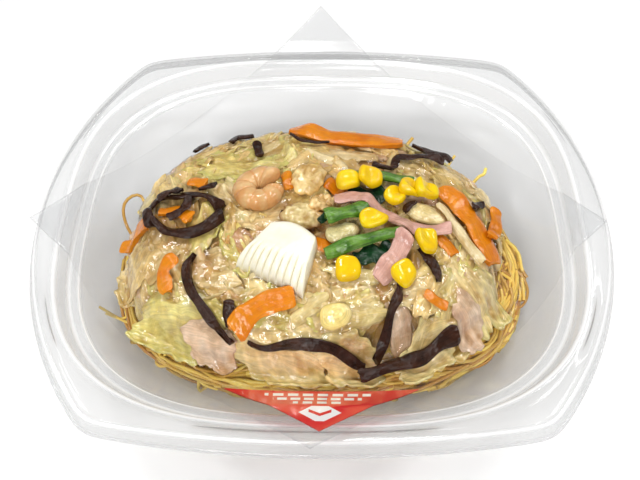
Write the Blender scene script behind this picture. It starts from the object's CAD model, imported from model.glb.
"""Looks for a sara udon in its clear take-away tray.

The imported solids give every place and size. This file dresses them: a thermoformed tray, a clear pull-out
film, a nest of separate fried noodles, and a heap of sauced vegetables and seafood. Metres, +Z up.
"""

import logging
import math
import random
from collections.abc import Callable, Sequence
from dataclasses import dataclass
from enum import Enum
from typing import ClassVar

import bpy
import numpy as np
from mathutils import Matrix, Vector


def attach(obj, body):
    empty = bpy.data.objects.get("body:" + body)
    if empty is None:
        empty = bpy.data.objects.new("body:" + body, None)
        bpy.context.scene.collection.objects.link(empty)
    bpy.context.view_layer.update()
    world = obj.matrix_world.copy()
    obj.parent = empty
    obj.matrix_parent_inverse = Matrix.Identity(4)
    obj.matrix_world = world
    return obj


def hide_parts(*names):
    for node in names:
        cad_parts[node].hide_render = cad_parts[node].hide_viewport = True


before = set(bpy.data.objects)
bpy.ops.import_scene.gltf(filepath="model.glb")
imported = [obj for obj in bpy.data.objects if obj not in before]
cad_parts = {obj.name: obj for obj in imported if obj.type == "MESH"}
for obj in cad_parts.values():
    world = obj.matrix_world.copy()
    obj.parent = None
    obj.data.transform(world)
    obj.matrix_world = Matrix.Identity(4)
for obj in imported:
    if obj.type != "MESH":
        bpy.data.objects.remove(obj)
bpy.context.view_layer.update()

LOG = logging.getLogger("sara_udon")
MM = 0.001
TAU = 2 * math.pi
BODY = "root"
Colour = tuple[float, float, float]
Point = tuple[float, float]
Array = np.ndarray
Piece = bpy.types.Object
Material = bpy.types.Material
Tree = bpy.types.NodeTree
Socket = bpy.types.NodeSocket
Place = tuple[float, float, float]
PLAIN: Colour = (1.0, 1.0, 1.0)
MERGE_GAP = 0.02 * MM


# ---------------------------------------------------------------- small maths helpers


def lerp(a: float, b: float, t: float) -> float:
    """The value that lies t of the way from a to b."""
    return a + (b - a) * t


def unit(values: Array) -> Array:
    """Values held between 0 and 1."""
    return np.clip(values, 0, 1)


def oval_field(x: Array, y: Array, wide: float, deep: float, power: float) -> Array:
    """How far out points lie in an oval.

    Args:
        x: Distances along X from the oval's centre, in mm.
        y: Distances along Y from the oval's centre, in mm.
        wide: Half width of the oval.
        deep: Half depth of the oval.
        power: Squareness; 2 is an ellipse.

    Returns:
        0 at the centre and 1 on the oval's edge.
    """
    return (np.abs(x / wide) ** power + np.abs(y / deep) ** power) ** (1 / power)


def oval_radius(angle: Array, wide: float, deep: float, power: float) -> Array:
    """Radius of an oval in the direction of each angle."""
    return 1 / oval_field(np.cos(angle), np.sin(angle), wide, deep, power)


def ripples(x: Array, y: Array, size: float, seed: float) -> Array:
    """Smooth uneven waves of about one size, between -1 and 1.

    Args:
        x: X of the points.
        y: Y of the points.
        size: Typical distance from crest to crest.
        seed: Moves the pattern, so that no two uses look alike.

    Returns:
        The height of the waves at each point.
    """
    k = TAU / size
    total = np.sin(k * (0.9 * x + 0.35 * y) + seed)
    total = total + np.sin(k * (-0.55 * x + 0.95 * y) * 1.13 + 2.3 * seed + 1.7)
    total = total + np.sin(k * (0.2 * x - 1.1 * y) * 0.83 + 3.1 * seed + 0.4)
    total = total + np.sin(k * (1.2 * x + 0.8 * y) * 0.71 + 1.3 * seed + 4.2)
    return total / 4


# ---------------------------------------------------------------- sizes shared by several pieces


@dataclass(frozen=True)
class TraySizes:
    """Sizes of the tray, in mm."""

    half_width: float = 107
    half_depth: float = 93
    corner_x: float = 76
    corner_y: float = 86
    height: float = 38
    opening_wide: float = 97
    opening_deep: float = 86
    squareness: float = 2.9
    floor_wide: float = 72
    floor_deep: float = 56


@dataclass(frozen=True)
class NestSizes:
    """Sizes of the noodle nest, in mm."""

    centre_y: float = -10
    wide: float = 77
    deep: float = 53
    squareness: float = 2.3
    edge_height: float = 24.5
    crown: float = 2.5


@dataclass(frozen=True)
class HeapSizes:
    """Sizes of the vegetable heap, in mm."""

    centre_x: float = -2.5
    wide: float = 71
    deep: float = 53.5
    squareness: float = 2.2
    rise: float = 20
    fullness: float = 2.7
    roundness: float = 0.45
    gap: float = 0.45
    brink: float = 2.5


@dataclass(frozen=True)
class FilmSizes:
    """How the clear film lies between nest and flange and stands up beyond it, in mm and degrees."""

    clearance: float = 0.8
    front_lift: float = 2.6
    rim_inset: float = 5
    bend: float = 9
    front_slope: float = 35
    back_slope: float = 39
    hollow: float = 1.15
    back_hollow: float = 0.45


TRAY = TraySizes()
NEST = NestSizes()
HEAP = HeapSizes()
FILM = FilmSizes()


def film_height(x: Array, y: Array) -> Array:
    """Height of the film's underside, in mm: domed on the nest, rising to the flange, free beyond it."""
    x, y = np.asarray(x, float), np.asarray(y, float)
    inside = oval_field(x, y - NEST.centre_y, NEST.wide, NEST.deep, NEST.squareness)
    turn = np.arctan2(y - NEST.centre_y, x)
    front = unit(-np.sin(turn)) ** 3
    back = unit(np.sin(turn)) ** 3
    rim = TRAY.height + FILM.clearance + FILM.front_lift * front
    wide, deep = TRAY.opening_wide - FILM.rim_inset, TRAY.opening_deep - FILM.rim_inset
    outside = oval_field(x, y, wide, deep, TRAY.squareness) - 1
    beyond = np.maximum(outside, 0) * (TRAY.opening_wide + (deep - wide) * (front + back))
    bend = unit(beyond / FILM.bend)
    front_rise, back_rise = math.tan(math.radians(FILM.front_slope)), math.tan(math.radians(FILM.back_slope))
    slope = front_rise * front + back_rise * back * bend
    free = rim + beyond * slope
    from_nest = np.maximum(inside - 1, 0) * NEST.deep
    to_rim = np.maximum(-outside, 0) * TRAY.opening_deep
    share = (from_nest / np.maximum(from_nest + to_rim, 1e-6)) ** (FILM.hollow + FILM.back_hollow * back)
    ramp = NEST.edge_height + (rim - NEST.edge_height) * share
    dome = NEST.edge_height + NEST.crown * (1 - inside**2)
    return np.where(inside <= 1, dome, np.where(outside >= 0, free, ramp))


def heap_out(x: Array, y: Array) -> Array:
    """How far out points lie in the heap: 0 at its centre and 1 on its outline."""
    return oval_field(x - HEAP.centre_x, y - NEST.centre_y, HEAP.wide, HEAP.deep, HEAP.squareness)


def heap_place(angle: float, out: float) -> Point:
    """The place in one direction from the heap's centre; out is 0 there and 1 on the outline."""
    reach = out * float(oval_radius(np.array(angle), HEAP.wide, HEAP.deep, HEAP.squareness))
    return HEAP.centre_x + reach * math.cos(angle), NEST.centre_y + reach * math.sin(angle)


def heap_height(x: Array, y: Array) -> Array:
    """Height of the top of the heap's plain form, in mm."""
    x, y = np.asarray(x, float), np.asarray(y, float)
    dome = (1 - np.minimum(1, heap_out(x, y) ** HEAP.fullness)) ** HEAP.roundness
    return film_height(x, y) + HEAP.gap + HEAP.brink * unit(dome * 3) + HEAP.rise * dome


def turned(x: Array, y: Array, at: Point, heading: float) -> tuple[Array, Array]:
    """Places turned by a heading in degrees and moved, so that their origin comes to lie at a point."""
    cos, sin = math.cos(math.radians(heading)), math.sin(math.radians(heading))
    return at[0] + x * cos - y * sin, at[1] + x * sin + y * cos


# ---------------------------------------------------------------- finishes


def feed(tree: Tree, target: bpy.types.Node, **values: object) -> None:
    """Sets a shader node's properties and inputs.

    Args:
        tree: The tree the node is in.
        target: The node.
        values: Properties, or inputs by name with spaces written as underscores, or by number as _0 or _1. An
            input takes a number, a colour, a place or the output that feeds it.
    """
    for key, value in values.items():
        if hasattr(target, key):
            setattr(target, key, value)
            continue
        socket = target.inputs[int(key[1:]) if key[1:].isdigit() else key.replace("_", " ")]
        if isinstance(value, Socket):
            tree.links.new(value, socket)
        else:
            socket.default_value = (*value, 1) if socket.type == "RGBA" else value


def node(tree: Tree, kind: str, **values: object) -> bpy.types.Node:
    """Adds a shader node of one of Blender's types, with its properties and inputs as feed takes them."""
    made = tree.nodes.new(kind)
    feed(tree, made, **values)
    return made


def mixed(tree: Tree, **values: object) -> Socket:
    """Two colours mixed."""
    return node(tree, "ShaderNodeMix", data_type="RGBA", **values).outputs["Result"]


def maths(tree: Tree, operation: str, *terms: object, **values: object) -> Socket:
    """One maths node on outputs or numbers."""
    numbered = {f"_{index}": term for index, term in enumerate(terms)}
    return node(tree, "ShaderNodeMath", operation=operation, **values, **numbered).outputs[0]


def ranged(tree: Tree, value: Socket, **limits: object) -> Socket:
    """A value brought from one range into another, 0 to 1 where no limit is given."""
    return node(tree, "ShaderNodeMapRange", Value=value, **limits).outputs["Result"]


def new_material(name: str) -> tuple[Material, Tree, bpy.types.Node]:
    """Starts a node material: the material, its tree and its surface shader."""
    made = bpy.data.materials.new(name)
    made.use_nodes = True
    return made, made.node_tree, made.node_tree.nodes["Principled BSDF"]


def new_group(name: str, inputs: dict[str, str], outputs: dict[str, str]) -> Tree:
    """Starts a shader node group.

    Args:
        name: The group's name.
        inputs: The kind of each input: "Float", "Color" or "Vector".
        outputs: The kind of each output.

    Returns:
        The group, with its Group Input and Group Output nodes named "in" and "out".
    """
    group = bpy.data.node_groups.new(name, "ShaderNodeTree")
    for way, sockets in (("INPUT", inputs), ("OUTPUT", outputs)):
        for label, kind in sockets.items():
            group.interface.new_socket(name=label, in_out=way, socket_type="NodeSocket" + kind)
    node(group, "NodeGroupInput", name="in")
    node(group, "NodeGroupOutput", name="out")
    return group


class SharedEffects:
    """Node groups that several finishes use."""

    def __init__(self) -> None:
        """Builds each group once."""
        self.mottle = self._mottle()
        self.relief = self._relief()

    def _mottle(self) -> Tree:
        """Two colours mixed by soft cloudy noise."""
        numbers, colours = {"Scale": "Float", "Contrast": "Float"}, {"Colour A": "Color", "Colour B": "Color"}
        group = new_group("cooked_mottle", {"Vector": "Vector", **colours, **numbers}, {"Color": "Color"})
        given = group.nodes["in"].outputs
        cloud = node(
            group, "ShaderNodeTexNoise", Vector=given["Vector"], Scale=given["Scale"], Detail=5.0,
            Roughness=0.6, Distortion=0.4,
        )
        low = maths(group, "SUBTRACT", 0.5, given["Contrast"])
        high = maths(group, "ADD", 0.5, given["Contrast"])
        share = ranged(group, cloud.outputs["Fac"], From_Min=low, From_Max=high)
        colour = mixed(group, Factor=share, A=given["Colour A"], B=given["Colour B"])
        feed(group, group.nodes["out"], Color=colour)
        return group

    def _relief(self) -> Tree:
        """Fine height for a bump: soft waves with a finer grain on them."""
        group = new_group("cooked_relief", {"Vector": "Vector", "Scale": "Float"}, {"Height": "Float"})
        given = group.nodes["in"].outputs
        place, scale = given["Vector"], given["Scale"]
        finer = maths(group, "MULTIPLY", scale, 4.0)
        soft = node(group, "ShaderNodeTexNoise", Vector=place, Scale=scale, Detail=1.0)
        fine = node(group, "ShaderNodeTexNoise", Vector=place, Scale=finer, Detail=2.0)
        height = maths(group, "MULTIPLY_ADD", fine.outputs["Fac"], 0.07, soft.outputs["Fac"])
        feed(group, group.nodes["out"], Height=height)
        return group


EFFECTS = SharedEffects()


@dataclass(frozen=True)
class Finish:
    """A cooked, moist or dry food surface.

    The colour runs between two tones in soft clouds. Where tinted is set, it is multiplied by the piece's own
    tint attribute, so that pieces of one kind differ.
    """

    name: str
    tone_a: Colour
    tone_b: Colour
    scale: float
    roughness: float
    bump: float
    contrast: float = 0.22
    translucency: float = 0.12
    scatter_mm: float = 2.5
    scatter_tone: Colour = (1.0, 0.75, 0.45)
    bump_scale: float = 420
    tinted: bool = False
    streaks: float = 0.0
    specular: float = 0.5

    def material(self) -> Material:
        """Builds the node material.

        Returns:
            The material, ready to assign.
        """
        made, tree, shader = new_material(self.name)
        place = node(tree, "ShaderNodeTexCoord").outputs["Object"]
        mottle = node(
            tree, "ShaderNodeGroup", node_tree=EFFECTS.mottle, Vector=place, Colour_A=self.tone_a,
            Colour_B=self.tone_b, Scale=self.scale, Contrast=self.contrast,
        )
        relief = node(tree, "ShaderNodeGroup", node_tree=EFFECTS.relief, Vector=place, Scale=self.bump_scale)
        colour, height = mottle.outputs["Color"], relief.outputs["Height"]
        if self.tinted:
            tint = node(tree, "ShaderNodeAttribute", attribute_name="tint").outputs["Color"]
            colour = mixed(tree, blend_type="MULTIPLY", Factor=1.0, A=colour, B=tint)
        if self.streaks:
            colour, height = self._with_streaks(tree, colour, height)
        bump = node(tree, "ShaderNodeBump", Strength=self.bump, Distance=0.0006, Height=height)
        feed(
            tree, shader, Base_Color=colour, Normal=bump.outputs["Normal"], Roughness=self.roughness,
            Specular_IOR_Level=self.specular, Subsurface_Weight=self.translucency,
            Subsurface_Scale=self.scatter_mm * MM, Subsurface_Radius=self.scatter_tone,
        )
        return made

    def _with_streaks(
        self, tree: Tree, colour: Socket, height: Socket
    ) -> tuple[Socket, Socket]:
        """Adds fine streaks that run along the piece's UV map.

        Args:
            tree: The material's tree.
            colour: The colour so far.
            height: The relief so far.

        Returns:
            The colour and relief with the streaks.
        """
        along = node(tree, "ShaderNodeUVMap").outputs["UV"]
        stretched = node(tree, "ShaderNodeMapping", Vector=along, Scale=(1.5, 14.0, 1.0)).outputs["Vector"]
        grain = node(tree, "ShaderNodeTexNoise", Vector=stretched, Scale=1.6, Detail=3.0, Roughness=0.6)
        fibre = grain.outputs["Fac"]
        dark, light = 1.0 - self.streaks, 1.0 + self.streaks * 0.4
        shade = ranged(tree, fibre, From_Min=0.35, From_Max=0.65, To_Min=dark, To_Max=light)
        streaked = mixed(tree, blend_type="MULTIPLY", Factor=1.0, A=colour, B=shade)
        return streaked, maths(tree, "MULTIPLY_ADD", fibre, 0.22, height)


@dataclass(frozen=True)
class ClearPlastic:
    """A clear thing that lets most light through, shines at a glancing angle and is bright at its creases."""

    name: str
    tone: Colour
    body: float
    edge: float
    gloss: float
    crease: float
    roughness: float = 0.06
    wave: float = 24.0
    swell: float = 0.002
    strength: float = 0.10

    def material(self) -> Material:
        """Builds the node material.

        Returns:
            The material, ready to assign.
        """
        made, tree, shader = new_material(self.name)
        facing = node(tree, "ShaderNodeLayerWeight", Blend=0.35).outputs["Facing"]
        clear = ranged(tree, facing, To_Min=self.body, To_Max=self.edge)
        fold = node(tree, "ShaderNodeAttribute", attribute_name="crease").outputs["Fac"]
        place = node(tree, "ShaderNodeTexCoord").outputs["Object"]
        wave = node(tree, "ShaderNodeTexNoise", Vector=place, Scale=self.wave, Detail=1.0).outputs["Fac"]
        bump = node(tree, "ShaderNodeBump", Strength=self.strength, Distance=self.swell, Height=wave)
        feed(
            tree, shader, Roughness=self.roughness, IOR=self.gloss, Normal=bump.outputs["Normal"],
            Base_Color=mixed(tree, Factor=fold, A=self.tone, B=(1, 1, 1)),
            Alpha=maths(tree, "MULTIPLY_ADD", fold, self.crease, clear, use_clamp=True),
        )
        return made


class Finishes(Enum):
    """Every food finish of the dish, by the record's slot name."""

    FRIED_NOODLE = Finish(
        "fried_noodle", (0.86, 0.49, 0.055), (1.0, 0.76, 0.17), scale=80, roughness=0.24, translucency=0.0,
        bump=0.35, bump_scale=900, tinted=True, specular=0.6,
    )
    SAUCED = Finish(
        "sauced_vegetable", (0.38, 0.20, 0.055), (0.66, 0.44, 0.17), scale=110, contrast=0.18, roughness=0.08,
        scatter_mm=2, bump=0.7, bump_scale=260, specular=0.7,
    )
    CABBAGE = Finish(
        "cabbage", (0.56, 0.39, 0.14), (0.86, 0.73, 0.44), scale=100, contrast=0.2, roughness=0.09,
        scatter_mm=1.5, bump=1.0, bump_scale=460, tinted=True, streaks=0.25, specular=0.8,
    )
    PORK = Finish(
        "pork", (0.55, 0.37, 0.235), (0.78, 0.63, 0.47), scale=170, roughness=0.12, bump=0.9, tinted=True,
        streaks=0.2, specular=0.7,
    )
    CARROT = Finish(
        "carrot", (0.62, 0.155, 0.002), (0.76, 0.27, 0.007), scale=120, roughness=0.14,
        scatter_tone=(1.0, 0.4, 0.1), streaks=0.2, bump=0.7,
    )
    WOOD_EAR = Finish(
        "wood_ear", (0.012, 0.004, 0.002), (0.055, 0.018, 0.008), scale=190, roughness=0.07, translucency=0.0,
        bump=1.1, bump_scale=370, streaks=0.4, specular=0.25,
    )
    GREEN_STEM = Finish(
        "green_stem", (0.020, 0.105, 0.006), (0.18, 0.36, 0.045), scale=150, roughness=0.12,
        translucency=0.06, streaks=0.6, bump=0.8,
    )
    GREEN_LEAF = Finish(
        "green_leaf", (0.002, 0.015, 0.005), (0.012, 0.060, 0.020), scale=180, roughness=0.12,
        translucency=0.0, streaks=0.5, bump=0.9, specular=0.35,
    )
    HAM = Finish(
        "ham", (0.50, 0.25, 0.20), (0.72, 0.44, 0.36), scale=190, roughness=0.15, streaks=0.2, bump=0.7
    )
    CLAM = Finish(
        "clam", (0.42, 0.24, 0.07), (0.84, 0.65, 0.34), scale=210, contrast=0.14, roughness=0.11, bump=0.9,
        tinted=True, specular=0.7,
    )
    SHRIMP = Finish(
        "shrimp", (0.54, 0.31, 0.12), (0.68, 0.47, 0.23), scale=150, contrast=0.2, roughness=0.14,
        translucency=0.2, scatter_tone=(1.0, 0.5, 0.3), bump=0.7, tinted=True,
    )
    SQUID = Finish(
        "squid", (0.84, 0.78, 0.58), (0.93, 0.89, 0.74), scale=90, roughness=0.3, translucency=0.2,
        scatter_tone=(1.0, 0.85, 0.6), bump=0.3,
    )
    CORN = Finish(
        "sweetcorn", (0.76, 0.46, 0.001), (0.86, 0.62, 0.003), scale=160, roughness=0.08,
        scatter_tone=(1.0, 0.7, 0.1), bump=0.12, bump_scale=350, tinted=True,
    )


# ---------------------------------------------------------------- modelling helpers


class Bench:
    """Blender operators in the order a modeller uses them, on one object at a time."""

    @staticmethod
    def clear() -> None:
        """Deselects everything."""
        if bpy.context.object and bpy.context.object.mode != "OBJECT":
            bpy.ops.object.mode_set(mode="OBJECT")
        bpy.ops.object.select_all(action="DESELECT")

    @staticmethod
    def pick(piece: Piece) -> None:
        """Selects one object alone and makes it active."""
        Bench.clear()
        piece.select_set(True)
        bpy.context.view_layer.objects.active = piece

    @staticmethod
    def named(name: str) -> Piece:
        """The object just added, under its own name."""
        made = bpy.context.object
        made.name = name
        made.data.name = name
        return made

    @staticmethod
    def grid(name: str, along: int, across: int) -> Piece:
        """Adds a flat grid from -1 to 1 both ways, with its UV map.

        Args:
            name: The new object's name.
            along: Faces along X.
            across: Faces along Y.

        Returns:
            The grid object.
        """
        Bench.clear()
        bpy.ops.mesh.primitive_grid_add(x_subdivisions=along, y_subdivisions=across, size=2, calc_uvs=True)
        return Bench.named(name)

    @staticmethod
    def ball(name: str, segments: int, rings: int) -> Piece:
        """Adds a ball of radius 1.

        Args:
            name: The new object's name.
            segments: Faces round its middle.
            rings: Rings of faces from pole to pole.

        Returns:
            The ball object.
        """
        Bench.clear()
        bpy.ops.mesh.primitive_uv_sphere_add(segments=segments, ring_count=rings, radius=1)
        return Bench.named(name)

    @staticmethod
    def points(piece: Piece) -> Array:
        """The piece's vertices as three rows: X, Y and Z."""
        found = np.zeros(len(piece.data.vertices) * 3)
        piece.data.vertices.foreach_get("co", found)
        return found.reshape(-1, 3).T

    @staticmethod
    def place(piece: Piece, *columns: Array) -> None:
        """Moves the piece's vertices to new places, given in mm as columns or as one table."""
        places = np.column_stack(columns) * MM
        piece.data.vertices.foreach_set("co", np.ascontiguousarray(places, dtype=np.float64).ravel())
        piece.data.update()

    @staticmethod
    def modify(piece: Piece, kind: str, **settings: object) -> None:
        """Adds one modifier and applies it.

        Args:
            piece: The object.
            kind: Blender's modifier type.
            settings: Its properties.
        """
        Bench.pick(piece)
        modifier = piece.modifiers.new(kind.lower(), kind)
        for key, value in settings.items():
            setattr(modifier, key, value)
        bpy.ops.object.modifier_apply(modifier=modifier.name)

    @staticmethod
    def thicken(piece: Piece, thickness: float) -> None:
        """Gives a sheet a wall below it, its thickness in mm."""
        Bench.modify(piece, "SOLIDIFY", thickness=thickness * MM, offset=-1.0, use_even_offset=False)

    @staticmethod
    def mend(piece: Piece) -> None:
        """Merges doubled points and turns every face outwards."""
        Bench.pick(piece)
        bpy.ops.object.mode_set(mode="EDIT")
        bpy.ops.mesh.select_all(action="SELECT")
        bpy.ops.mesh.remove_doubles(threshold=MERGE_GAP)
        bpy.ops.mesh.normals_make_consistent(inside=False)
        bpy.ops.object.mode_set(mode="OBJECT")

    @staticmethod
    def join(pieces: Sequence[Piece], name: str) -> Piece:
        """Joins several objects into one.

        Args:
            pieces: The objects, first one kept.
            name: The name of the result.

        Returns:
            The joined object.
        """
        Bench.clear()
        for piece in pieces:
            piece.select_set(True)
        bpy.context.view_layer.objects.active = pieces[0]
        bpy.ops.object.join()
        return Bench.named(name)

    @staticmethod
    def tint(piece: Piece, colours: Array | Colour) -> None:
        """Writes the piece's tint attribute.

        Args:
            piece: The object.
            colours: One colour, or one row of three numbers for each point.
        """
        rows = np.ones((len(piece.data.vertices), 4))
        rows[:, :3] = colours
        layer = piece.data.attributes.new("tint", "FLOAT_COLOR", "POINT")
        layer.data.foreach_set("color", rows.ravel())

    @staticmethod
    def hand_over(piece: Piece, slot: str, material: Material, *nodes: str) -> None:
        """Shades a finished piece smooth and gives it its material, its body and the solids it stands for.

        Args:
            piece: The finished object, at the origin.
            slot: The record's material slot.
            material: Its material.
            nodes: The solids it replaces.
        """
        Bench.pick(piece)
        bpy.ops.object.shade_smooth()
        if "tint" not in piece.data.attributes:
            Bench.tint(piece, PLAIN)
        piece.data.materials.clear()
        piece.data.materials.append(material)
        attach(piece, BODY)
        if nodes:
            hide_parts(*nodes)
        LOG.info("%s: %d faces", piece.name, len(piece.data.polygons))


class Layers:
    """Heights of everything laid so far, on a fine grid over the tray. Each new piece lies on the last."""

    def __init__(self, step: float = 0.8, reach: float = 100.0) -> None:
        """Starts with the bare film.

        Args:
            step: Spacing of the grid, in mm.
            reach: Half the side of the grid, in mm.
        """
        self.step, self.reach = step, reach
        axis = np.arange(-reach, reach + step, step)
        gx, gy = np.meshgrid(axis, axis, indexing="ij")
        self.top = film_height(gx, gy) + 0.5

    def _cells(self, values: Array) -> Array:
        """Grid places of distances in mm, as fractions of a cell."""
        return (np.clip(values, -self.reach, self.reach) + self.reach) / self.step

    @staticmethod
    def _around(field: Array, cells: int, how: Callable[..., Array]) -> Array:
        """Takes the highest or the mean of each place's neighbours, one axis after the other."""
        for axis in (0, 1):
            field = how([np.roll(field, shift, axis) for shift in range(-cells, cells + 1)], axis=0)
        return field

    def rest(self, x: Array, y: Array, sag: float, spread: float | None = None) -> Array:
        """Heights at which something limp lies over what is there.

        Args:
            x: X of its points, in mm.
            y: Y of its points, in mm.
            sag: Size of the hollows that it bridges, in mm.
            spread: How far it stays clear of high points sideways; half the sag if not given.

        Returns:
            The height of each point, in mm.
        """
        x, y = np.asarray(x, float), np.asarray(y, float)
        i, j = self._cells(x), self._cells(y)
        margin = int(3 * sag / self.step) + 4
        i0, j0 = max(int(i.min()) - margin, 0), max(int(j.min()) - margin, 0)
        local = self.top[i0 : int(i.max()) + margin, j0 : int(j.max()) + margin]
        clear = sag / 2 if spread is None else spread
        local = self._around(local, max(0, round(clear / self.step)), np.max)
        for _ in range(2):
            local = self._around(local, max(1, round(sag / self.step / 2)), np.mean)
        i, j = i - i0, j - j0
        a, b = np.minimum(i.astype(int), local.shape[0] - 2), np.minimum(j.astype(int), local.shape[1] - 2)
        u, v = i - a, j - b
        near = local[a, b] * (1 - v) + local[a, b + 1] * v
        far = local[a + 1, b] * (1 - v) + local[a + 1, b + 1] * v
        return near * (1 - u) + far * u

    def lay(self, piece: Piece) -> None:
        """Counts a finished piece as laid."""
        x, y, z = Bench.points(piece) / MM
        i, j = self._cells(x).round().astype(int), self._cells(y).round().astype(int)
        fresh = np.full_like(self.top, -1.0)
        inside = (i < fresh.shape[0]) & (j < fresh.shape[1])
        np.maximum.at(fresh, (i[inside], j[inside]), z[inside])
        grown = self._around(fresh, 1, np.max)
        self.top = np.maximum(self.top, np.where(fresh > 0, fresh, grown))


LAYERS = Layers()


def smooth_line(points: Sequence[Point], count: int) -> tuple[Array, Array]:
    """A smooth line through a few places.

    Args:
        points: The places, in mm.
        count: How many even steps the line is cut into.

    Returns:
        The places along the line and the unit directions there.
    """
    knots = np.array([points[0], *points, points[-1]], float)
    knots[0] = 2 * knots[1] - knots[2]
    knots[-1] = 2 * knots[-2] - knots[-3]
    dense = []
    for i in range(1, len(knots) - 2):
        p0, p1, p2, p3 = knots[i - 1 : i + 3]
        for t in np.linspace(0, 1, 24, endpoint=False):
            a, b, c = 2 * p1, p2 - p0, 2 * p0 - 5 * p1 + 4 * p2 - p3
            dense.append(0.5 * (a + b * t + c * t**2 + (3 * p1 - p0 - 3 * p2 + p3) * t**3))
    dense.append(knots[-2])
    dense = np.array(dense)
    steps = np.r_[0, np.cumsum(np.linalg.norm(np.diff(dense, axis=0), axis=1))]
    even = np.linspace(0, steps[-1], count + 1)
    line = np.column_stack([np.interp(even, steps, dense[:, k]) for k in (0, 1)])
    heading = np.gradient(line, axis=0)
    return line, heading / np.linalg.norm(heading, axis=1, keepdims=True)


def eased(values: Array, rounds: int) -> Array:
    """Heights along a line with their sudden steps eased out."""
    for _ in range(rounds):
        padded = np.r_[values[0], values, values[-1]]
        values = np.maximum((padded[:-2] + 2 * values + padded[2:]) / 4, values - 0.5)
    return values


# ---------------------------------------------------------------- tray


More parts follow.
